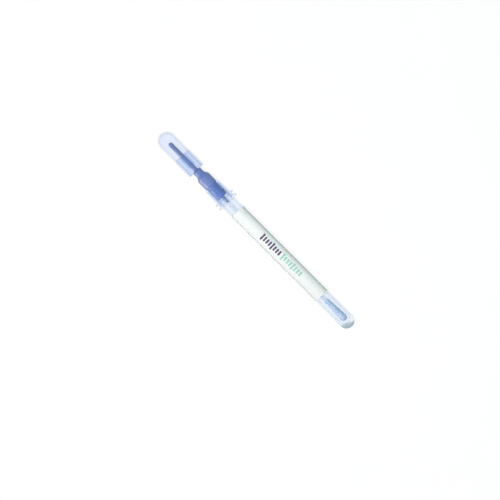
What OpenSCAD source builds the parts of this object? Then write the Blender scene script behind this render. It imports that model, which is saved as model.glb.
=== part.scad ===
// Specimen swab tube: a clear tube that stores a hollow-shafted swab. The swab hangs from a
// cap with a blue valve, and a soft bulb of liquid sits on top of the valve. Bending the bulb
// breaks the stem off the valve, and squeezing it sends the liquid down the shaft.
//
// The piece lies along X: the bulb points to -X and the closed end of the tube to +X.
// The origin is on the surface that it lies on, under the middle of its length.

/* [Tube] */
// Outer diameter of the tube
tube_d = 10; // [9:0.1:13]
// Wall of the tube
tube_wall = 0.95; // [0.6:0.05:1.2]
// Length from the top face of the flange to the round tip
tube_len = 110.65; // [90:0.05:150]
// Thickness of the round end, along the axis
tube_floor = 3; // [1:0.1:5]
// Wall of the neck that the cap slides over
tube_neck_wall = 0.55; // [0.4:0.05:0.8]
// Height of the flange above the tube's outside
flange_h = 2.3; // [1:0.05:4]
// Thickness of the flange
flange_t = 1.5; // [0.8:0.1:2]
// Gap between the flange and the cap that stops on it
flange_gap = 0.05; // [0.02:0.01:0.2]

/* [Label] */
// Distance from the flange to the panel that the label lies in
label_start = 7.25; // [4:0.05:20]
// Length of the label
label_len = 74.3; // [40:0.1:80]
// Thickness of the label
label_t = 0.22; // [0.1:0.01:0.3]
// Depth of the panel that the label is stuck in
label_recess = 0.18; // [0.1:0.01:0.25]
// Gap between each end of the label and the end of its panel
label_end_gap = 0.6; // [0.1:0.1:2]
// Gap between the ends of the wrapped label
label_seam = 0.8; // [0.3:0.1:3]
// Turn of that gap about the tube, from straight down
label_seam_turn = 40; // [0:5:180]

/* [Cap] */
// Wall of the clear skirt at its top
skirt_wall = 0.7; // [0.5:0.05:1.2]
// Length of the skirt
skirt_len = 13.6; // [10:0.05:20]
// How much the skirt's radius grows towards its mouth
skirt_flare = 0.3; // [0:0.05:0.8]
// Thickness of the skirt's top, which holds it on the valve
skirt_web = 1.2; // [0.6:0.1:2.5]
// Radial clearance between the skirt and the tube's neck
skirt_gap = 0.1; // [0.05:0.01:0.3]
// Gap between the tube's rim and the skirt's top
rim_gap = 0.3; // [0.1:0.05:1]
// Height of the grip ring above the skirt
grip_h = 1.6; // [0.4:0.05:2]
// Thickness of the grip ring
grip_t = 1.3; // [0.6:0.1:2]
// Distance from the skirt's mouth to the grip ring
grip_back = 1.65; // [0.5:0.05:6]

/* [Valve] */
// Diameter of the neck under the bulb
neck_d = 6; // [4:0.1:7]
// Length of the neck below the bulb's mouth
neck_len = 3; // [2.5:0.05:8]
// How much the radius of the neck's domed top exceeds the neck's
dome_extra = 0.9; // [0.4:0.1:2]
// Depth of the dome in the bulb's mouth
dome_depth = 1; // [0.4:0.05:1.2]
// Length over which the neck flares out to the collar
flare_len = 3.4; // [2:0.1:8]
// Length of the collar
collar_len = 6.7; // [3:0.1:15]
// How much the collar's radius exceeds the plug's
collar_lip = 0.64; // [0.3:0.02:1.5]
// Length of the plug that closes the tube
plug_len = 10; // [6:0.1:12]
// Height of the plug's sealing ribs
rib_h = 0.2; // [0.1:0.05:0.4]
// Width of a sealing rib
rib_w = 0.9; // [0.5:0.1:1.5]
// Running clearance between the sealing ribs and the tube's bore
rib_gap = 0.05; // [0.02:0.01:0.1]
// Length of the spigot that carries the swab's shaft
spigot_len = 4.8; // [2:0.1:8]
// Diameter of the liquid passage through the valve
passage_d = 1; // [0.6:0.1:1.2]

/* [Bulb] */
// Outer diameter of the bulb
bulb_d = 11.7; // [10.5:0.1:16]
// Length of the bulb from its tip to its mouth
bulb_len = 32; // [26:0.05:45]
// Wall of the bulb
bulb_wall = 0.75; // [0.4:0.05:1.2]
// How much the bulb's radius grows over its sleeve
cuff_h = 0.2; // [0:0.05:0.6]
// Length of the sleeve inside the bulb's mouth
sleeve_len = 13.1; // [8:0.05:16]
// Thickness of the sleeve's bottom, which grips the stem
sleeve_web = 4.2; // [2.5:0.1:6]
// Diameter of the break-off stem
stem_d = 2.94; // [2:0.02:3.6]
// Distance from the bulb's tip to the top of the stem
stem_top = 7.7; // [3:0.05:12]
// Radial room for liquid between the stem and the sleeve
sleeve_room = 0.95; // [0.4:0.05:1.6]
// Gap between the valve's dome and the bulb that turns about it
dome_gap = 0.1; // [0.05:0.01:0.3]
// Height of the liquid's level above the axis as the bulb lies
liquid_level = 3.2; // [0:0.1:4]

/* [Swab] */
// Outer diameter of the swab's hollow shaft
shaft_d = 2.9; // [2.4:0.1:3.4]
// Wall of the shaft
shaft_wall = 0.5; // [0.3:0.05:0.6]
// Diameter of the fibre bud
bud_d = 4.5; // [4:0.1:6]
// Length of the fibre bud
bud_len = 17.65; // [12:0.05:25]
// Thickness of the fibre where the bud begins
bud_edge = 0.15; // [0.1:0.05:0.5]
// Fibre beyond the end of the shaft
bud_cap = 3; // [2.5:0.1:6]
// Free space between the bud and the end of the tube's bore
bud_gap = 2.5; // [1:0.1:10]

/* [Hidden] */
$fn = 96;

// Clearances inside fixed joints
fit_gap = 0.02;     // radial gap of a pressed or glued pair
liquid_gap = 0.05;  // gap between the liquid and the walls that hold it
past = 1;           // how far a cut runs past the face that it opens

// Straight stretches that stand for a smooth curve
flare_steps = 8;
bud_steps = 10;

// Edge rounding and the bulb's taper
cuff_taper = 1.2;
flange_round = 0.35;
grip_round = 0.4;
mouth_round = 0.6;
edge_round = 0.3;
spigot_round = 0.2;
lead_in = 0.25;

// Radii
tube_r = tube_d / 2;
bore_r = tube_r - tube_wall;
flange_r = tube_r + flange_h;
panel_r = tube_r - label_recess;
neck_r = neck_d / 2;
dome_r = neck_r + dome_extra;
rib_r = bore_r - rib_gap;
plug_r = rib_r - rib_h;
collar_r = plug_r + collar_lip;
tube_neck_r = bore_r + tube_neck_wall;
skirt_bore_r = tube_neck_r + skirt_gap;
skirt_top_r = skirt_bore_r + skirt_wall;
skirt_end_r = skirt_top_r + skirt_flare;
grip_r = skirt_end_r + grip_h;
bulb_r = bulb_d / 2;
bulb_bore_r = bulb_r - bulb_wall;
cuff_r = bulb_r + cuff_h;
sleeve_r = bulb_bore_r - fit_gap;
stem_r = stem_d / 2;
sleeve_bore_r = stem_r + sleeve_room;
shaft_r = shaft_d / 2;
shaft_bore_r = shaft_r - shaft_wall;
spigot_r = shaft_bore_r - fit_gap;
bud_r = bud_d / 2;

// Places along the axis, from the tip of the bulb
dome_top = bulb_len - dome_depth;
pivot = dome_top + dome_r;
flare_start = bulb_len + neck_len;
collar_start = flare_start + flare_len;
collar_end = collar_start + collar_len;
plug_end = collar_end + plug_len;
spigot_end = plug_end + spigot_len;
skirt_end = collar_end + skirt_len;
rim = collar_end + skirt_web + rim_gap;
flange_top = skirt_end + flange_gap;
flange_end = flange_top + flange_t;
overall_len = flange_top + tube_len;
bore_end = overall_len - tube_floor;
panel_start = flange_end + label_start;
label_from = panel_start + label_end_gap;
panel_end = label_from + label_len + label_end_gap;
cuff_start = bulb_len - sleeve_len;
web_start = bulb_len - sleeve_web;
bud_end = bore_end - bud_gap;
bud_start = bud_end - bud_len;
shaft_end = bud_end - bud_cap;

// Height of the axis above the surface that the flange lies on
axis_h = max(flange_r, grip_r, cuff_r);

// ---- helpers ----

// Turns an axis that runs up Z into the lying one
module lying() {
    translate([-overall_len / 2, 0, axis_h])
        rotate([0, 90, 0])
            children();
}

// Keeps the half of an outline that is on the positive side of the axis
module half_outline() {
    intersection() {
        children();
        translate([0, -past])
            square([flange_r + grip_r + bulb_d, overall_len + 2 * past]);
    }
}

// Outline of a solid stretch of radius r from one place to another
module rod(r, from, to) {
    translate([0, from])
        square([r, to - from]);
}

// The same with the outer corner at its far end rounded
module round_ended_rod(r, from, to, edge) {
    rod(r - edge, from, to);
    rod(r, from, to - edge);
    translate([r - edge, to - edge])
        circle(edge);
}

// The same with both outer corners rounded
module rounded_rod(r, from, to, edge) {
    round_ended_rod(r, from + edge, to, edge);
    rod(r - edge, from, to);
    translate([r - edge, from + edge])
        circle(edge);
}

// Outline of a stretch that tapers from radius r1 to radius r2
module taper(r1, r2, from, to) {
    polygon([[0, from], [r1, from], [r2, to], [0, to]]);
}

// Half disc about a point of the axis
module half_disc(r, at) {
    half_outline()
        translate([0, at])
            circle(r);
}

// Eased share of a step, from 0 to 1
function ease(t) = (1 - cos(180 * t)) / 2;

// Points of an outline that widens smoothly from radius r1 to radius r2
function eased_edge(r1, r2, from, to, steps) = [
    for (i = [0 : steps])
        [r1 + (r2 - r1) * ease(i / steps), from + (to - from) * i / steps]
];

// ---- tube and label ----

module tube_outline() {
    difference() {
        union() {
            rod(tube_neck_r, rim, flange_top + flange_t / 2);
            rounded_rod(flange_r, flange_top, flange_end, flange_round);
            rod(tube_r, flange_top + flange_t / 2, panel_start);
            rod(panel_r, panel_start - past, panel_end + past);
            rod(tube_r, panel_end, overall_len - tube_r);
            half_disc(tube_r, overall_len - tube_r);
        }
        union() {
            rod(bore_r, rim - past, bore_end - bore_r);
            half_disc(bore_r, bore_end - bore_r);
            taper(bore_r + lead_in + past, bore_r, rim - past, rim + lead_in);
        }
    }
}

module tube() {
    color([0.89, 0.94, 0.99, 0.4])
        lying()
            rotate_extrude()
                tube_outline();
}

// The wrapped label leaves a narrow seam between its ends
module label() {
    inner_r = panel_r + fit_gap;
    seam_deg = label_seam / inner_r * 180 / PI;
    color("mintcream")
        lying()
            rotate([0, 0, label_seam_turn + seam_deg / 2])
                rotate_extrude(angle = 360 - seam_deg)
                    translate([inner_r, label_from])
                        square([label_t, label_len]);
}

// ---- cap ----

module skirt_outline() {
    difference() {
        union() {
            taper(skirt_top_r, skirt_end_r, collar_end, skirt_end);
            rounded_rod(grip_r, skirt_end - grip_back - grip_t, skirt_end - grip_back, grip_round);
        }
        rod(plug_r + fit_gap, collar_end - past, skirt_end);
        rod(skirt_bore_r, collar_end + skirt_web, skirt_end + past);
    }
}

module cap_skirt() {
    color([0.86, 0.91, 0.97, 0.45])
        lying()
            rotate_extrude()
                skirt_outline();
}

// Neck with its domed top, flare, collar, plug with two sealing ribs, and spigot
module valve_outline() {
    rib_pitch = (plug_len - skirt_web) / 3;
    difference() {
        union() {
            intersection() {
                half_disc(dome_r, pivot);
                rod(neck_r, dome_top - past, pivot);
            }
            rod(neck_r, pivot - dome_extra, flare_start);
            polygon(concat(
                [[0, flare_start]],
                eased_edge(neck_r, collar_r, flare_start, collar_start, flare_steps),
                [[0, collar_start]]
            ));
            rod(collar_r, collar_start, collar_end);
            rod(plug_r, collar_end, plug_end - edge_round);
            taper(plug_r, plug_r - edge_round, plug_end - edge_round, plug_end);
            for (i = [1, 2])
                translate([0, collar_end + skirt_web + i * rib_pitch])
                    rod(rib_r, -rib_w / 2, rib_w / 2);
            rod(spigot_r, plug_end, spigot_end - spigot_round);
            taper(spigot_r, spigot_r - spigot_round, spigot_end - spigot_round, spigot_end);
        }
        rod(passage_d / 2, dome_top - past, spigot_end + past);
    }
}

module valve_body() {
    color("cornflowerblue")
        lying()
            rotate_extrude()
                valve_outline();
}

// ---- bulb head ----

module bulb_outline() {
    difference() {
        union() {
            half_disc(bulb_r, bulb_r);
            rod(bulb_r, bulb_r, cuff_start);
            taper(bulb_r, cuff_r, cuff_start, cuff_start + cuff_taper);
            round_ended_rod(cuff_r, cuff_start + cuff_taper, bulb_len, mouth_round);
        }
        half_disc(bulb_bore_r, bulb_r);
        rod(bulb_bore_r, bulb_r, bulb_len + past);
    }
}

module bulb() {
    color([0.88, 0.93, 0.99, 0.4])
        lying()
            rotate_extrude()
                bulb_outline();
}

// Plug of the bulb's mouth: it grips the stem and has a dish that turns on the valve's dome
module bulb_sleeve() {
    color([0.78, 0.84, 0.95, 0.5])
        lying()
            rotate_extrude()
                difference() {
                    rod(sleeve_r, cuff_start, bulb_len);
                    rod(stem_r + fit_gap, cuff_start - past, bulb_len + past);
                    rod(sleeve_bore_r, cuff_start - past, web_start);
                    half_disc(dome_r + dome_gap, pivot);
                }
}

module stem_outline(extra) {
    half_disc(stem_r + extra, stem_top + stem_r);
    rod(stem_r + extra, stem_top + stem_r, pivot);
}

module snap_stem() {
    color("steelblue")
        lying()
            rotate_extrude()
                difference() {
                    stem_outline(0);
                    half_disc(dome_r + dome_gap, pivot);
                }
}

// Liquid in the bulb and round the stem, level as the bulb lies
module reagent() {
    level_side = 4 * bulb_d + bulb_len;
    color([0.85, 0.92, 1, 0.3])
        lying()
            difference() {
                rotate_extrude()
                    difference() {
                        union() {
                            half_disc(bulb_bore_r - liquid_gap, bulb_r);
                            rod(bulb_bore_r - liquid_gap, bulb_r, cuff_start - liquid_gap);
                            rod(sleeve_bore_r - liquid_gap, bulb_r, web_start - liquid_gap);
                        }
                        stem_outline(liquid_gap);
                    }
                translate([-liquid_level - level_side, -level_side / 2, -level_side / 2])
                    cube(level_side);
            }
}

// ---- swab ----

module swab_shaft() {
    color("whitesmoke")
        lying()
            rotate_extrude()
                difference() {
                    rod(shaft_r, plug_end, shaft_end);
                    rod(shaft_bore_r, plug_end - past, shaft_end + past);
                }
}

// Fibre wound on the end of the shaft, widening to a round tip
module swab_bud() {
    swell_end = bud_end - bud_r;
    color("lightsteelblue")
        lying()
            rotate_extrude()
                difference() {
                    union() {
                        polygon(concat(
                            [[0, bud_start]],
                            eased_edge(shaft_r + bud_edge, bud_r, bud_start, swell_end, bud_steps),
                            [[0, swell_end]]
                        ));
                        half_disc(bud_r, swell_end);
                    }
                    rod(shaft_r + fit_gap, bud_start - past, shaft_end);
                }
}

tube();
label();
cap_skirt();
valve_body();
snap_stem();
bulb();
bulb_sleeve();
reagent();
swab_shaft();
swab_bud();
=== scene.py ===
import math
import random

import bmesh
import bpy
from mathutils import Matrix, Vector, noise


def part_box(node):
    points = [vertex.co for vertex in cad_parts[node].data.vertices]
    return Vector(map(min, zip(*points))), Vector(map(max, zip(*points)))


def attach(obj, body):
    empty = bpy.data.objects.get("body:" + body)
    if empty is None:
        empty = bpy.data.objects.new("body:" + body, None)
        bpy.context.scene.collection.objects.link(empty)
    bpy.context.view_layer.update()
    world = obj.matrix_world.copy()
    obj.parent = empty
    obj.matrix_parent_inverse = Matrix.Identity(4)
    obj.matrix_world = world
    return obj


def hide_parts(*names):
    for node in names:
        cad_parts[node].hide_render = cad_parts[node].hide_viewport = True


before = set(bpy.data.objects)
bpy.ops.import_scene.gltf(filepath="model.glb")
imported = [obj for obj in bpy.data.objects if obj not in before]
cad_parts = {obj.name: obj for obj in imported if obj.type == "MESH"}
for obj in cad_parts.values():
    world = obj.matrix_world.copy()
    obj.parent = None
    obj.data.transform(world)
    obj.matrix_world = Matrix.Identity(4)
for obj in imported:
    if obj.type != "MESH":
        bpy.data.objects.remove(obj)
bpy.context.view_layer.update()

MM = 0.001

# ---- camera: straight down on the lying tube, turned so that it runs from corner to corner ----

PICTURE_WIDTH = 0.3125
PICTURE_MIDDLE = (0.00592, -0.01145)
LENS = 135.0
SENSOR = 36.0
AXIS_UP = (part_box("tube")[0].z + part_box("tube")[1].z) / 2

camera_data = bpy.data.cameras.new("camera")
camera_data.lens = LENS
camera_data.sensor_width = SENSOR
camera_data.clip_start = 0.01
camera = bpy.data.objects.new("camera", camera_data)
bpy.context.scene.collection.objects.link(camera)
camera.rotation_euler = (0, 0, math.radians(45))
camera.location = (*PICTURE_MIDDLE, AXIS_UP + PICTURE_WIDTH * LENS / SENSOR)
bpy.context.scene.camera = camera

# ---- places along the axis in mm from the tip of the bulb, and radii, taken from the solids ----

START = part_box("bulb")[0].x


def place(x):
    return (x - START) / MM


def ends(node):
    low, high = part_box(node)
    return place(low.x), place(high.x)


def radius(node):
    low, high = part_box(node)
    return (high.y - low.y) / 2 / MM


FIT = 0.02
CUFF_STEP, WALL = 0.2, 0.75
CUFF_R, BULB_END = radius("bulb"), ends("bulb")[1]
BULB_R = CUFF_R - CUFF_STEP
CUFF_START, CUFF_TAPER = ends("bulb_sleeve")[0], 1.2
SLEEVE_R, STEM_R = radius("bulb_sleeve"), radius("snap_stem")
ROOM_R, WEB = 2.42, 4.2
STEM_TOP = ends("snap_stem")[0]
NECK_R, NECK_LEN, DOME_R, DOME_GAP = 3.0, 3.0, 3.9, 0.1
DOME_TOP = ends("valve_body")[0]
PIVOT = DOME_TOP + DOME_R
COLLAR_R, COLLAR_LEN = radius("valve_body"), 6.7
PLUG_R, RIB_R, RIB_HALF = 3.8, 4.0, 0.45
COLLAR_END = ends("cap_skirt")[0]
FLARE_START, COLLAR_START = BULB_END + NECK_LEN, COLLAR_END - COLLAR_LEN
PLUG_END = ends("swab_shaft")[0]
SPIGOT_END, SPIGOT_R, PASSAGE_R = ends("valve_body")[1], 0.93, 0.5
SKIRT_END, GRIP_R = ends("cap_skirt")[1], radius("cap_skirt")
SKIRT_TOP_R, SKIRT_END_R, SKIRT_BORE_R, SKIRT_WEB = 5.4, 5.7, 4.7, 1.2
RIM, TIP = ends("tube")
FLANGE_R, FLANGE_GAP, FLANGE_T = radius("tube"), 0.05, 1.5
FLANGE_TOP = SKIRT_END + FLANGE_GAP
FLANGE_END = FLANGE_TOP + FLANGE_T
RING_BACK, RING_T = 1.65, 1.3
RING_END = SKIRT_END - RING_BACK
RING_START = RING_END - RING_T
TUBE_R, BORE_R, TUBE_NECK_R, PANEL_R = 5.0, 4.05, 4.6, 4.82
LABEL_START, LABEL_END = ends("label")
LABEL_R, LABEL_T = radius("label"), 0.22
PANEL_GAP, END_WALL = 0.6, 3.0
BORE_END = TIP - END_WALL
SHAFT_R, SHAFT_BORE_R, SHAFT_END = radius("swab_shaft"), 0.95, ends("swab_shaft")[1]
BUD_R, BUD_FOOT = radius("swab_bud"), 0.15
BUD_START, BUD_END = ends("swab_bud")
LIQUID_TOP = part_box("reagent")[1].z - AXIS_UP

# ---- helpers: outlines and turned pieces ----

ROUND_STEPS = 96
MERGE = 1e-7


def rounded(points, steps=5):
    """Outline with each corner (along, out, rounding) turned into a small arc."""
    outline = []
    for i, (along, out, rounding) in enumerate(points):
        here = Vector((along, out))
        if not rounding or i in (0, len(points) - 1):
            outline.append(here)
            continue
        before = (Vector(points[i - 1][:2]) - here).normalized()
        after = (Vector(points[i + 1][:2]) - here).normalized()
        half = before.angle(after) / 2
        back = rounding / math.tan(half)
        middle = here + (before + after).normalized() * rounding / math.sin(half)
        first = here + before * back - middle
        turn = first.angle_signed(here + after * back - middle)
        for k in range(steps + 1):
            outline.append(middle + Matrix.Rotation(-turn * k / steps, 2) @ first)
    return outline


def arc(centre, r, from_deg, to_deg, steps=20):
    """Points about a place on the axis: 0 degrees points to +X and 90 straight out."""
    span = to_deg - from_deg
    turns = [math.radians(from_deg + span * k / steps) for k in range(steps + 1)]
    return [Vector((centre + r * math.cos(t), abs(r * math.sin(t)))) for t in turns]


def stretch(start, end, steps):
    """Evenly spaced points between two points of an outline, without its ends."""
    start, end = Vector(start), Vector(end)
    return [start.lerp(end, k / steps) for k in range(1, steps)]


def spot(along, out, turn=0.0):
    """A point in metres: mm along the axis, mm out from it, turned about it from straight up."""
    return Vector((
        START + along * MM,
        out * MM * math.sin(turn),
        AXIS_UP + out * MM * math.cos(turn),
    ))


def wrap_map(bm):
    """Lays a map on the piece: round the axis and along it, both in mm."""
    layer = bm.loops.layers.uv.new("wrap")
    for face in bm.faces:
        turns = [math.atan2(v.co.y, v.co.z - AXIS_UP) for v in face.verts]
        wraps = max(turns) - min(turns) > math.pi
        for loop, turn in zip(face.loops, turns):
            if wraps and turn < 0:
                turn += 2 * math.pi
            loop[layer].uv = (turn * TUBE_R, place(loop.vert.co.x))


def finish_mesh(bm, name, body, nodes=(), material=None, crease=32):
    bmesh.ops.remove_doubles(bm, verts=bm.verts, dist=MERGE)
    bmesh.ops.recalc_face_normals(bm, faces=bm.faces)
    wrap_map(bm)
    for face in bm.faces:
        face.smooth = True
    for edge in bm.edges:
        if len(edge.link_faces) == 2 and edge.calc_face_angle() > math.radians(crease):
            edge.smooth = False
    mesh = bpy.data.meshes.new(name)
    bm.to_mesh(mesh)
    bm.free()
    piece = bpy.data.objects.new(name, mesh)
    bpy.context.scene.collection.objects.link(piece)
    if material:
        mesh.materials.append(material)
    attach(piece, body)
    if nodes:
        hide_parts(*nodes)


def turned(outline, closed, steps=ROUND_STEPS):
    """A body of revolution: a wall with a closed outline, or a solid with its ends on the axis."""
    bm = bmesh.new()
    verts = [bm.verts.new(spot(p.x, p.y)) for p in outline]
    pairs = list(zip(verts, verts[1:]))
    if closed:
        pairs.append((verts[-1], verts[0]))
    edges = [bm.edges.new(pair) for pair in pairs]
    bmesh.ops.spin(
        bm, geom=verts + edges, cent=(0, 0, AXIS_UP), axis=(1, 0, 0), dvec=(0, 0, 0),
        angle=2 * math.pi, steps=steps, use_merge=True, use_duplicate=False,
    )
    bmesh.ops.remove_doubles(bm, verts=bm.verts, dist=MERGE)
    return bm


# ---- helpers: materials ----


class Finish:
    """A material being made out of nodes."""

    def __init__(self, name):
        self.material = bpy.data.materials.new(name)
        self.material.use_nodes = True
        self.tree = self.material.node_tree
        self.tree.nodes.clear()
        self.out = self.add("ShaderNodeOutputMaterial")
        self.coords = self.add("ShaderNodeTexCoord")

    def add(self, kind, **inputs):
        node = self.tree.nodes.new(kind)
        for key, value in inputs.items():
            if key.startswith("set_"):
                setattr(node, key[4:], value)
            else:
                self.put(node, key.replace("_", " "), value)
        return node

    def put(self, node, key, value):
        if isinstance(key, str) and key.isdigit():
            key = int(key)
        if isinstance(value, bpy.types.NodeSocket):
            self.tree.links.new(value, node.inputs[key])
        else:
            node.inputs[key].default_value = value

    def math(self, operation, a, b=0.0, c=0.0):
        node = self.add("ShaderNodeMath", set_operation=operation)
        for i, value in enumerate((a, b, c)):
            self.put(node, i, value)
        return node.outputs[0]

    def spread(self, value, low, high, start=0.0, end=1.0):
        """Maps a value from start..end to low..high, and stops at both."""
        node = self.add("ShaderNodeMapRange")
        for i, number in enumerate((value, start, end, low, high)):
            self.put(node, i, number)
        return node.outputs[0]

    def where(self, size=(1, 1, 1), mapped=False):
        """The place on the piece in metres, or its own wrapped map in mm, scaled."""
        source = self.coords.outputs["Object"]
        if mapped:
            source = self.add("ShaderNodeUVMap", set_uv_map="wrap").outputs[0]
        node = self.add("ShaderNodeMapping", Scale=size)
        self.put(node, "Vector", source)
        return node.outputs[0]

    def grain(self, scale, detail=3.0, rough=0.5, size=(1, 1, 1), mapped=False, twist=0.0):
        node = self.add(
            "ShaderNodeTexNoise", Vector=self.where(size, mapped),
            Scale=scale, Detail=detail, Roughness=rough, Distortion=twist,
        )
        return node.outputs[0]

    def blend(self, factor, first, second):
        """Mixes two colours by a factor that varies over the surface."""
        node = self.add("ShaderNodeMix", set_data_type="RGBA")
        self.put(node, 0, factor)
        self.put(node, 6, first)
        self.put(node, 7, second)
        return node.outputs[2]

    def bumps(self, height, strength, distance, under=None):
        node = self.add("ShaderNodeBump", Height=height, Strength=strength, Distance=distance)
        if under is not None:
            self.put(node, "Normal", under)
        return node.outputs[0]

    def shader(self, colour, roughness, normal=None, **more):
        node = self.add("ShaderNodeBsdfPrincipled")
        self.put(node, "Base Color", colour)
        self.put(node, "Roughness", roughness)
        if normal is not None:
            self.put(node, "Normal", normal)
        for key, value in more.items():
            self.put(node, key.replace("_", " "), value)
        return node.outputs[0]

    def done(self, surface):
        self.put(self.out, "Surface", surface)
        return self.material


def rgb(red, green, blue):
    """A colour of 0 to 255 values as a shader takes it."""
    def linear(c):
        c /= 255
        return c / 12.92 if c <= 0.04045 else ((c + 0.055) / 1.055) ** 2.4
    return (linear(red), linear(green), linear(blue), 1.0)


def see_through(name, tint, haze, face, rim, roughness, lines=0.25, power=2.2,
                thick=(), rim_tint=None, gloss=0.5):
    """Clear or milky plastic: a tint that light takes at each wall, and a haze that grows edge-on.

    face and rim are how dense the haze is square on and edge-on, and rim_tint is the tint edge-on.
    thick lists stretches of more plastic: (start, ramp, stop, haze, density, tint, lean) in mm,
    where lean is how much earlier a stretch starts on the -Y side, which paints shade on that side."""
    f = Finish(name)
    flow = f.grain(160, 4, 0.55, size=(0.25, 1, 1))
    scuffs = f.grain(900, 5, 0.6, size=(0.12, 1, 1), twist=0.6)
    specks = f.grain(2600, 2, 0.5)
    colour = f.blend(f.spread(flow, 0, 0.4, 0.35, 0.7), haze, tint)
    rough = f.math("ADD", roughness, f.spread(scuffs, 0, 0.22, 0.45, 0.72))
    normal = f.bumps(scuffs, lines, 0.00004, f.bumps(specks, 0.1, 0.00002))
    edge = f.add("ShaderNodeLayerWeight", Blend=0.5).outputs["Facing"]
    edge = f.math("POWER", edge, power)
    dense = f.math("MULTIPLY_ADD", edge, rim - face, face)
    dense = f.math("ADD", dense, f.spread(scuffs, 0, 0.014, 0.55, 0.75))
    passed = f.blend(edge, tint, rim_tint) if rim_tint else tint
    where = f.add("ShaderNodeSeparateXYZ", Vector=f.coords.outputs["Object"]).outputs
    for start, ramp, stop, its_haze, density, its_tint, lean in thick:
        # a lean paints shade: the stretch starts earlier on the -Y side
        along = f.math("MULTIPLY_ADD", where[1], -lean, where[0])
        start, stop = START + start * MM, START + stop * MM
        share = f.math(
            "MULTIPLY", f.spread(along, 0, 1, start, start + ramp * MM),
            f.spread(along, 1, 0, stop, stop + 0.3 * MM),
        )
        dense = f.math("MULTIPLY_ADD", share, density, dense)
        colour = f.blend(share, colour, its_haze)
        passed = f.blend(share, passed, its_tint)
    solid = f.shader(colour, rough, normal, IOR=1.49, Specular_IOR_Level=gloss)
    clear = f.add("ShaderNodeBsdfTransparent", Color=passed).outputs[0]
    mixed = f.add("ShaderNodeMixShader")
    f.put(mixed, 0, dense)
    f.put(mixed, 1, clear)
    f.put(mixed, 2, solid)
    return f.done(mixed.outputs[0])


def moulded(name, main, pale, roughness):
    """Opaque moulded plastic with flow marks, fine grain and slightly paler, rubbed high spots."""
    f = Finish(name)
    flow = f.grain(220, 4, 0.55, size=(0.4, 1, 1), twist=0.8)
    fine = f.grain(2400, 4, 0.6)
    rubs = f.grain(700, 5, 0.65, size=(0.3, 1, 1))
    colour = f.blend(f.spread(flow, 0, 0.55, 0.35, 0.7), main, pale)
    edge = f.add("ShaderNodeNewGeometry").outputs["Pointiness"]
    worn = f.spread(edge, 0, 0.35, 0.505, 0.56)
    colour = f.blend(worn, colour, pale)
    rough = f.math("ADD", roughness, f.spread(rubs, -0.04, 0.08, 0.35, 0.7))
    normal = f.bumps(fine, 0.1, 0.00002, f.bumps(flow, 0.1, 0.00006))
    return f.done(f.shader(
        colour, rough, normal, IOR=1.6, Coat_Weight=0.7, Coat_Roughness=0.42, Coat_IOR=1.5,
    ))


def label_film():
    """White film with a breath of mint, faint wrinkles and a rubbed satin surface."""
    f = Finish("label_film")
    cloud = f.grain(90, 3, 0.5, size=(0.6, 1, 1))
    fine = f.grain(5200, 3, 0.6)
    ripples = f.grain(0.28, 3, 0.5, size=(1, 0.35, 1), mapped=True, twist=0.5)
    colour = f.blend(cloud, rgb(250, 253, 252), rgb(253, 254, 254))
    rubs = f.grain(420, 5, 0.7, size=(0.5, 1, 1), twist=1.0)
    colour = f.blend(f.spread(rubs, 0, 0.3, 0.6, 0.8), colour, rgb(233, 239, 238))
    rough = f.spread(rubs, 0.34, 0.55, 0.3, 0.7)
    normal = f.bumps(fine, 0.06, 0.00002, f.bumps(ripples, 0.08, 0.00005))
    return f.done(f.shader(colour, rough, normal, IOR=1.45, Specular_IOR_Level=0.16))


def ink(name, main, thin):
    """Printing ink with a little unevenness where the film shows through."""
    f = Finish(name)
    grainy = f.grain(3200, 4, 0.65)
    wash = f.grain(300, 3, 0.5)
    factor = f.math("ADD", f.spread(grainy, 0, 0.35, 0.5, 0.75), f.spread(wash, 0, 0.25, 0.4, 0.7))
    colour = f.blend(factor, main, thin)
    rough = f.spread(grainy, 0.38, 0.5, 0.3, 0.7)
    normal = f.bumps(grainy, 0.15, 0.00001)
    return f.done(f.shader(colour, rough, normal, IOR=1.45))


def fibre(name, main, pale, dark):
    """Wound fibre: fine slanting threads, with painted light that makes it paler towards the -Y
    side.
    """
    f = Finish(name)
    threads = f.grain(1.0, 4, 0.6, size=(9, 2.2, 1), mapped=True, twist=0.5)
    clumps = f.grain(520, 3, 0.6)
    side = f.add("ShaderNodeSeparateXYZ", Vector=f.coords.outputs["Object"]).outputs[1]
    # painted light: the fibre turns paler towards the -Y side, the side the light falls on
    painted_light_side = f.math("MULTIPLY_ADD", clumps, -0.0008, side)
    colour = f.blend(f.spread(threads, 0, 1, 0.35, 0.65), dark, main)
    colour = f.blend(f.spread(clumps, 0, 0.6, 0.45, 0.75), colour, pale)
    colour = f.blend(f.spread(painted_light_side, 0.8, 0, -0.0021, 0.0), colour, pale)
    normal = f.bumps(threads, 0.5, 0.00008)
    return f.done(f.shader(
        colour, f.spread(threads, 0.75, 0.95), normal,
        Sheen_Weight=0.35, Sheen_Roughness=0.5, Specular_IOR_Level=0.2,
    ))


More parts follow.
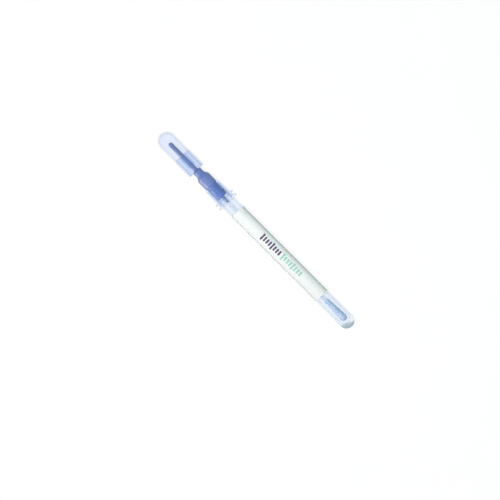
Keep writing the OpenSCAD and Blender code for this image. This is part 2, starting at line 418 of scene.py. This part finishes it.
CLEAR_TUBE = see_through(
    "clear_tube", tint=rgb(250, 252, 255), haze=rgb(214, 224, 243),
    face=0.004, rim=0.4, roughness=0.24, lines=0.12,
    thick=[
        (FLANGE_TOP - 0.2, 0.3, FLANGE_END, rgb(206, 219, 231), 0.01, rgb(246, 249, 253), 0.0),
        # thicker plastic at the round end, darkened partly as painted shade, with a lean that paints
        # the darker band further along the -Y side
        (TIP - 3.7, 1.7, TIP + 1, rgb(170, 187, 195), 0.26, rgb(228, 236, 240), 0.45),
    ],
    gloss=0.2,
)
CLEAR_CAP = see_through(
    "clear_cap", tint=rgb(251, 253, 255), haze=rgb(196, 210, 246),
    face=0.008, rim=0.17, roughness=0.2, lines=0.15,
    thick=[(RING_START - 0.1, 0.3, RING_END, rgb(190, 204, 226), 0.03, rgb(243, 246, 251), 0.0)],
    rim_tint=rgb(212, 225, 252),
)
SOFT_BULB = see_through(
    "soft_bulb", tint=rgb(251, 252, 255), haze=rgb(219, 218, 232),
    face=0.02, rim=0.9, roughness=0.3, lines=0.35, power=5.0,
    thick=[(CUFF_START - 0.8, 1.6, BULB_END + 1, rgb(186, 199, 228), 0.03, rgb(249, 251, 255), 0.0)],
)
MILKY = see_through(
    "milky_sleeve", tint=rgb(247, 250, 255), haze=rgb(186, 206, 246),
    face=0.05, rim=0.36, roughness=0.35,
)
LIQUID = see_through(
    "liquid", tint=rgb(251, 253, 255), haze=rgb(226, 236, 255),
    face=0.01, rim=0.1, roughness=0.03, lines=0.05,
)
SHAFT = see_through(
    "swab_shaft", tint=rgb(253, 253, 254), haze=rgb(231, 235, 246),
    face=0.17, rim=0.26, roughness=0.25,
)
BLUE_VALVE = moulded("blue_valve", rgb(93, 117, 180), pale=rgb(112, 134, 194), roughness=0.56)
BLUE_STEM = moulded("blue_stem", rgb(98, 115, 162), pale=rgb(120, 137, 178), roughness=0.46)
LABEL = label_film()
PLUM_INK = ink("plum_ink", rgb(92, 74, 108), thin=rgb(146, 130, 158))
MINT_INK = ink("mint_ink", rgb(170, 216, 200), thin=rgb(204, 234, 224))
FIBRE = fibre(
    "swab_fibre", rgb(200, 218, 241), pale=rgb(238, 247, 255), dark=rgb(178, 197, 226),
)

# ---- tube: thick round end, panel for the label, flange and the neck inside the cap ----

tube_outline = (
    arc(TIP - TUBE_R, TUBE_R, 0, 90, 28)
    + rounded([
        (TIP - TUBE_R - 1, TUBE_R, 0),
        (LABEL_END + PANEL_GAP, TUBE_R, 0.06),
        (LABEL_END + PANEL_GAP, PANEL_R, 0.06),
        (LABEL_START - PANEL_GAP, PANEL_R, 0.06),
        (LABEL_START - PANEL_GAP, TUBE_R, 0.06),
        (FLANGE_END, TUBE_R, 0.25),
        (FLANGE_END, FLANGE_R, 0.35),
        (FLANGE_TOP, FLANGE_R, 0.35),
        (FLANGE_TOP, TUBE_NECK_R, 0.15),
        (RIM, TUBE_NECK_R, 0.15),
        (RIM, BORE_R + 0.25, 0.06),
        (RIM + 0.25, BORE_R, 0.1),
        (BORE_END - BORE_R - 1, BORE_R, 0),
    ])
    + arc(BORE_END - BORE_R, BORE_R, 90, 0, 24)
)
finish_mesh(
    turned(tube_outline, closed=False), "tube_shell", "tube",
    nodes=["tube"], material=CLEAR_TUBE,
)

# ---- label: a film wrapped round the tube, with a narrow seam low on one side ----

SEAM, SEAM_TURN = 0.8, math.radians(140)


def wrapped_film():
    """A wall that goes round the tube and stops short of itself at the seam."""
    inner = LABEL_R - LABEL_T
    seam = SEAM / inner
    outline = rounded([
        (LABEL_START + 1, inner, 0),
        (LABEL_START, inner, 0.05),
        (LABEL_START, LABEL_R, 0.08),
        (LABEL_END, LABEL_R, 0.08),
        (LABEL_END, inner, 0.05),
        (LABEL_START + 1, inner, 0),
    ], steps=3)[:-1]
    bm = bmesh.new()
    verts = [bm.verts.new(spot(p.x, p.y, SEAM_TURN - seam / 2)) for p in outline]
    edges = [bm.edges.new(pair) for pair in zip(verts, verts[1:] + verts[:1])]
    bmesh.ops.spin(
        bm, geom=verts + edges, cent=(0, 0, AXIS_UP), axis=(1, 0, 0), dvec=(0, 0, 0),
        angle=2 * math.pi - seam, steps=ROUND_STEPS, use_merge=False, use_duplicate=False,
    )
    bmesh.ops.remove_doubles(bm, verts=bm.verts, dist=MERGE)
    open_edges = [e for e in bm.edges if e.is_boundary]
    bmesh.ops.holes_fill(bm, edges=open_edges, sides=0)
    return bm


finish_mesh(
    wrapped_film(), "label_sleeve", "tube",
    nodes=["label"], material=LABEL,
)

# ---- print: a plain scale of bars in two inks along the top of the label ----

INK_T, INK_GAP = 0.02, 0.002


def bar(bm, along, width, low, high):
    """A thin rounded bar of ink, bent to the label: low and high are mm across the top."""
    flat = bmesh.new()
    middle = Matrix.Translation((along, (low + high) / 2, 0))
    bmesh.ops.create_grid(
        flat, x_segments=1, y_segments=10, size=0.5,
        matrix=middle @ Matrix.Diagonal((width, high - low, 1, 1)),
    )
    grown = bmesh.ops.extrude_face_region(flat, geom=list(flat.faces), use_keep_orig=True)
    top = [v for v in grown["geom"] if isinstance(v, bmesh.types.BMVert)]
    bmesh.ops.translate(flat, verts=top, vec=(0, 0, INK_T))
    corners = [
        e for e in flat.edges
        if abs(e.verts[0].co.z - e.verts[1].co.z) > INK_T / 2 and len(e.link_faces) == 2
        and e.calc_face_angle() > math.radians(60)
    ]
    bmesh.ops.bevel(
        flat, geom=corners, offset=min(width, high - low) * 0.3, offset_type="OFFSET",
        segments=3, profile=0.5, affect="EDGES", material=-1,
    )
    for v in flat.verts:
        v.co = spot(v.co.x, LABEL_R + INK_GAP + v.co.z, v.co.y / LABEL_R)
    mesh = bpy.data.meshes.new("bar")
    flat.to_mesh(mesh)
    flat.free()
    bm.from_mesh(mesh)
    bpy.data.meshes.remove(mesh)


BARS, LONG_EVERY, LONG_BAR, SHORT_BAR, BAR_SHARE = 8, 4, 2.5, 1.7, 0.62


def scale_of_bars(name, start, end, material):
    """Bars across the label, every fourth one long; BAR_SHARE of the pitch is ink."""
    bm = bmesh.new()
    pitch = (end - start) / BARS
    for i in range(BARS):
        reach = LONG_BAR if i % LONG_EVERY == 0 else SHORT_BAR
        bar(bm, start + (i + 0.5) * pitch, pitch * BAR_SHARE, -reach, reach)
    finish_mesh(bm, name, "tube", material=material)


PRINT_START = LABEL_START + 21.2
PRINT_MIDDLE = PRINT_START + 17.2
PRINT_END = PRINT_MIDDLE + 17.8
PRINT_GAP = 0.4
scale_of_bars("print_plum", PRINT_START, PRINT_MIDDLE - PRINT_GAP, PLUM_INK)
scale_of_bars("print_mint", PRINT_MIDDLE + PRINT_GAP, PRINT_END, MINT_INK)

# ---- cap: clear skirt with its grip ring, and the blue valve that it holds ----


def skirt_r(along):
    """Outer radius of the skirt, which widens evenly to its mouth."""
    share = (along - COLLAR_END) / (SKIRT_END - COLLAR_END)
    return SKIRT_TOP_R + (SKIRT_END_R - SKIRT_TOP_R) * share


skirt_outline = rounded([
    (COLLAR_END, PLUG_R + 0.5, 0),
    (COLLAR_END, SKIRT_TOP_R, 0.35),
    (RING_START, skirt_r(RING_START), 0.2),
    (RING_START, GRIP_R, 0.4),
    (RING_END, GRIP_R, 0.4),
    (RING_END, skirt_r(RING_END), 0.2),
    (SKIRT_END, SKIRT_END_R, 0.15),
    (SKIRT_END, SKIRT_BORE_R, 0.15),
    (COLLAR_END + SKIRT_WEB, SKIRT_BORE_R, 0.2),
    (COLLAR_END + SKIRT_WEB, PLUG_R + FIT, 0.1),
    (COLLAR_END, PLUG_R + FIT, 0.1),
    (COLLAR_END, PLUG_R + 0.5, 0),
])[:-1]
finish_mesh(
    turned(skirt_outline, closed=True), "cap_skirt_shell", "swab",
    nodes=["cap_skirt"], material=CLEAR_CAP,
)


def eased(start, end, r1, r2, steps):
    """A smooth widening from r1 to r2, without its ends."""
    return [
        Vector((
            start + (end - start) * k / steps,
            r1 + (r2 - r1) * (1 - math.cos(math.pi * k / steps)) / 2,
        ))
        for k in range(1, steps)
    ]


rib_pitch = (PLUG_END - COLLAR_END - SKIRT_WEB) / 3
ribs = []
for i in (1, 2):
    rib = COLLAR_END + SKIRT_WEB + i * rib_pitch
    ribs += [
        (rib - RIB_HALF, PLUG_R, 0.05), (rib - RIB_HALF, RIB_R, 0.08),
        (rib + RIB_HALF, RIB_R, 0.08), (rib + RIB_HALF, PLUG_R, 0.05),
    ]
neck_top = PIVOT - math.sqrt(DOME_R ** 2 - NECK_R ** 2)
dome_rim = math.degrees(math.asin(NECK_R / DOME_R))
dome_mouth = math.degrees(math.asin(PASSAGE_R / DOME_R))
valve_outline = (
    arc(PIVOT, DOME_R, 180 - dome_mouth, 180 - dome_rim, 10)
    + [Vector((FLARE_START, NECK_R))]
    + eased(FLARE_START, COLLAR_START, NECK_R, COLLAR_R, 16)
    + rounded([
        (COLLAR_START, COLLAR_R, 0),
        (COLLAR_END, COLLAR_R, 0.15),
        (COLLAR_END, PLUG_R, 0.05),
        *ribs,
        (PLUG_END, PLUG_R, 0.3),
        (PLUG_END, SPIGOT_R, 0.1),
        (SPIGOT_END, SPIGOT_R, 0.2),
        (SPIGOT_END, PASSAGE_R, 0.08),
        (SPIGOT_END - 1, PASSAGE_R, 0),
    ])
)
finish_mesh(
    turned(valve_outline, closed=True), "valve", "swab",
    nodes=["valve_body"], material=BLUE_VALVE,
)

# ---- swab: hollow shaft pressed on the spigot, with wound fibre at its end ----

shaft_outline = rounded([
    (PLUG_END + 1, SHAFT_R, 0),
    (SHAFT_END, SHAFT_R, 0.08),
    (SHAFT_END, SHAFT_BORE_R, 0.08),
    (PLUG_END, SHAFT_BORE_R, 0.08),
    (PLUG_END, SHAFT_R, 0.08),
    (PLUG_END + 1, SHAFT_R, 0),
], steps=3)[:-1]
finish_mesh(
    turned(shaft_outline, closed=True, steps=48), "swab_shaft_tube", "swab",
    nodes=["swab_shaft"], material=SHAFT,
)


def bud_r(along):
    """Radius of the bud, which widens smoothly to its round tip."""
    swell_end = BUD_END - BUD_R
    if along < swell_end:
        share = (along - BUD_START) / (swell_end - BUD_START)
        foot = SHAFT_R + BUD_FOOT
        return foot + (BUD_R - foot) * (1 - math.cos(math.pi * share)) / 2
    return math.sqrt(max(BUD_R ** 2 - (along - swell_end) ** 2, 0))


def wound_bud():
    """The bud with slanting threads standing a little proud, over a hole for the shaft."""
    count = 110
    places = [BUD_START + (BUD_END - BUD_R - BUD_START) * k / count for k in range(count)]
    outer = [Vector((along, bud_r(along))) for along in places]
    seat = [
        Vector((SHAFT_END, 0)), Vector((SHAFT_END, SHAFT_R + FIT)),
        Vector((BUD_START, SHAFT_R + FIT)),
    ]
    tip = arc(BUD_END - BUD_R, BUD_R, 90, 0, 22)
    bm = turned(seat + outer + tip, closed=False, steps=120)
    for v in bm.verts:
        along, out = place(v.co.x), math.hypot(v.co.y, v.co.z - AXIS_UP) / MM
        if out < SHAFT_R + 0.1 and along <= SHAFT_END + 0.01:
            continue
        turn = math.atan2(v.co.y, v.co.z - AXIS_UP)
        across = Vector((math.cos(turn) * 3, math.sin(turn) * 3, along * 0.5))
        clump = noise.noise(across) + 0.5 * noise.noise(across * 3)
        winding = math.sin(14 * turn + along * 2.6 + 3 * clump)
        fade = min(out / BUD_R, 1)
        proud = (0.035 * winding + 0.06 * clump) * fade - 0.05
        v.co = spot(along, out + proud, turn)
    return bm


finish_mesh(
    wound_bud(), "bud_core", "swab",
    nodes=["swab_bud"], material=FIBRE, crease=60,
)


def loose_fibres():
    """Single threads of the winding that stand a little off the bud."""
    threads_made, points_made, thread_r = 190, 12, 0.028
    rng = random.Random(7)
    curve = bpy.data.curves.new("bud_threads", "CURVE")
    curve.dimensions = "3D"
    curve.bevel_depth = thread_r * MM
    curve.bevel_resolution = 1
    for _ in range(threads_made):
        along = rng.uniform(BUD_START + 0.3, BUD_END - 0.6)
        turn = rng.uniform(0, 2 * math.pi)
        slant, length = rng.uniform(0.15, 0.5), rng.uniform(1.6, 4.5)
        lift = rng.uniform(0.02, 0.16)
        line = curve.splines.new("POLY")
        line.points.add(points_made - 1)
        for k, point in enumerate(line.points):
            share = k / (points_made - 1)
            at = min(along + length * slant * share, BUD_END - 0.25)
            out = bud_r(at) - FIT + lift * math.sin(math.pi * share)
            point.co = (*spot(at, out, turn + length * share / BUD_R), 1)
        line.use_smooth = True
    curve.materials.append(FIBRE)
    threads = bpy.data.objects.new("bud_threads", curve)
    bpy.context.scene.collection.objects.link(threads)
    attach(threads, "swab")


loose_fibres()

# ---- bulb head: soft bulb, the plug in its mouth, the stem and the liquid ----

BULB_BORE_R = BULB_R - WALL
bulb_outline = (
    arc(BULB_R, BULB_R, 180, 90, 28)
    + rounded([
        (BULB_R + 1, BULB_R, 0),
        (CUFF_START, BULB_R, 1.2),
        (CUFF_START + CUFF_TAPER, CUFF_R, 1.2),
        (BULB_END, CUFF_R, 0.6),
        (BULB_END, BULB_BORE_R, 0.1),
        (BULB_R + 1, BULB_BORE_R, 0),
    ])
    + arc(BULB_R, BULB_BORE_R, 90, 180, 24)
)
finish_mesh(
    turned(bulb_outline, closed=False), "bulb_shell", "bulb_head",
    nodes=["bulb"], material=SOFT_BULB,
)

dish_r = DOME_R + DOME_GAP
stem_fit_r = STEM_R + FIT
dish_mouth = 180 - math.degrees(math.acos((PIVOT - BULB_END) / dish_r))
dish_end = 180 - math.degrees(math.asin(stem_fit_r / dish_r))
sleeve_outline = (
    rounded([
        (CUFF_START + 1, SLEEVE_R, 0),
        (CUFF_START, SLEEVE_R, 0.2),
        (CUFF_START, ROOM_R, 0.2),
        (BULB_END - WEB, ROOM_R, 0.2),
        (BULB_END - WEB, stem_fit_r, 0.1),
        (BULB_END - WEB + 1, stem_fit_r, 0),
    ])
    + arc(PIVOT, dish_r, dish_end, dish_mouth, 10)
    + rounded([
        (BULB_END, ROOM_R + 0.5, 0),
        (BULB_END, SLEEVE_R, 0.1),
        (CUFF_START + 2, SLEEVE_R, 0),
    ])
)
finish_mesh(
    turned(sleeve_outline, closed=True), "bulb_plug", "bulb_head",
    nodes=["bulb_sleeve"], material=MILKY,
)

stem_foot = 180 - math.degrees(math.asin(STEM_R / dish_r))
stem_outline = (
    arc(STEM_TOP + STEM_R, STEM_R, 180, 90, 12)
    + stretch((STEM_TOP + STEM_R, STEM_R), (DOME_TOP, STEM_R), 12)
    + arc(PIVOT, dish_r, stem_foot, 180, 6)
)
finish_mesh(
    turned(stem_outline, closed=False, steps=48), "stem", "bulb_head",
    nodes=["snap_stem"], material=BLUE_STEM,
)


def level_liquid():
    """The liquid as it lies: the room in the bulb and round the stem, cut level at the top."""
    gap = 0.05
    outline = (
        arc(BULB_R, BULB_BORE_R - gap, 180, 90, 24)
        + rounded([
            (BULB_R + 1, BULB_BORE_R - gap, 0),
            (CUFF_START - gap, BULB_BORE_R - gap, 0.2),
            (CUFF_START - gap, ROOM_R - gap, 0.1),
            (BULB_END - WEB - gap, ROOM_R - gap, 0.1),
            (BULB_END - WEB - gap, STEM_R + gap, 0.1),
            (STEM_TOP + STEM_R + 1, STEM_R + gap, 0),
        ])
        + arc(STEM_TOP + STEM_R, STEM_R + gap, 90, 180, 12)
    )
    bm = turned(outline, closed=False, steps=72)
    level = AXIS_UP + LIQUID_TOP
    bmesh.ops.bisect_plane(
        bm, geom=list(bm.verts) + list(bm.edges) + list(bm.faces), dist=MERGE,
        plane_co=(0, 0, level), plane_no=(0, 0, 1), clear_outer=True,
    )
    bmesh.ops.holes_fill(bm, edges=[e for e in bm.edges if e.is_boundary], sides=0)
    return bm


finish_mesh(
    level_liquid(), "liquid_fill", "bulb_head",
    nodes=["reagent"], material=LIQUID,
)

# ---- floor, world and lights ----

FLOOR_HALF = 4
floor_finish = Finish("floor")
floor_grain = floor_finish.grain(40, 3, 0.5)
floor_paint = floor_finish.blend(floor_grain, (0.12, 0.12, 0.12, 1), (0.14, 0.14, 0.14, 1))
bounce = floor_finish.add("ShaderNodeLightPath").outputs["Is Diffuse Ray"]
glow = floor_finish.math("MULTIPLY_ADD", bounce, -0.48, 0.89)
FLOOR = floor_finish.done(floor_finish.shader(
    floor_paint, 0.9, Specular_IOR_Level=0.0, Emission_Color=(1, 1, 1, 1), Emission_Strength=glow,
))
floor_mesh = bpy.data.meshes.new("floor")
floor_bm = bmesh.new()
bmesh.ops.create_grid(floor_bm, x_segments=1, y_segments=1, size=FLOOR_HALF)
floor_bm.to_mesh(floor_mesh)
floor_bm.free()
floor_mesh.materials.append(FLOOR)
floor = bpy.data.objects.new("floor", floor_mesh)
bpy.context.scene.collection.objects.link(floor)

world = bpy.data.worlds.new("studio")
bpy.context.scene.world = world
world.use_nodes = True
sky = world.node_tree
sky.nodes.clear()
light_path = sky.nodes.new("ShaderNodeLightPath")
seen = sky.nodes.new("ShaderNodeMath")
seen.operation = "MAXIMUM"
sky.links.new(light_path.outputs["Is Camera Ray"], seen.inputs[0])
sky.links.new(light_path.outputs["Is Glossy Ray"], seen.inputs[1])
either = sky.nodes.new("ShaderNodeMixShader")
sky.links.new(seen.outputs[0], either.inputs[0])
SOFT_LIGHT, WHITE_GROUND = ((0.7, 1.0, 0.97, 1.0), 0.11), ((1, 1, 1, 1), 0.9)
for socket, (colour, strength) in zip(either.inputs[1:], (SOFT_LIGHT, WHITE_GROUND)):
    ground = sky.nodes.new("ShaderNodeBackground")
    ground.inputs["Color"].default_value = colour
    ground.inputs["Strength"].default_value = strength
    sky.links.new(ground.outputs[0], socket)
sky_out = sky.nodes.new("ShaderNodeOutputWorld")
sky.links.new(either.outputs[0], sky_out.inputs["Surface"])


def lamp(name, location, size, power, seen_by, colour=(1, 1, 1)):
    """A flat lamp that points at the middle of the tube and gives only colour or only gloss."""
    data = bpy.data.lights.new(name, "AREA")
    data.shape = "RECTANGLE"
    data.size, data.size_y = size
    data.energy = power
    data.color = colour
    light = bpy.data.objects.new(name, data)
    light.location = location
    aim = Vector((0, 0, AXIS_UP)) - Vector(location)
    light.rotation_euler = aim.to_track_quat("-Z", "Y").to_euler()
    light.visible_diffuse = seen_by == "colour"
    light.visible_glossy = seen_by == "gloss"
    bpy.context.scene.collection.objects.link(light)


KEY_PLACE, KEY_SIZE = (-0.05, -0.155, 0.69), (0.3, 0.25)
lamp("key", KEY_PLACE, KEY_SIZE, 4.4, "colour")
lamp("key_shine", KEY_PLACE, KEY_SIZE, 0.8, "gloss")
lamp("side_shine", (0, -0.35, 0.05), (0.7, 0.1), 2.3, "gloss", colour=(1.0, 0.94, 0.78))
lamp("fill", (0, 0.4, 0.12), (0.6, 0.3), 0.15, "colour", colour=(0.2, 1.0, 0.92))

scene = bpy.context.scene
scene.view_settings.view_transform = "Standard"
scene.cycles.transparent_max_bounces = 32
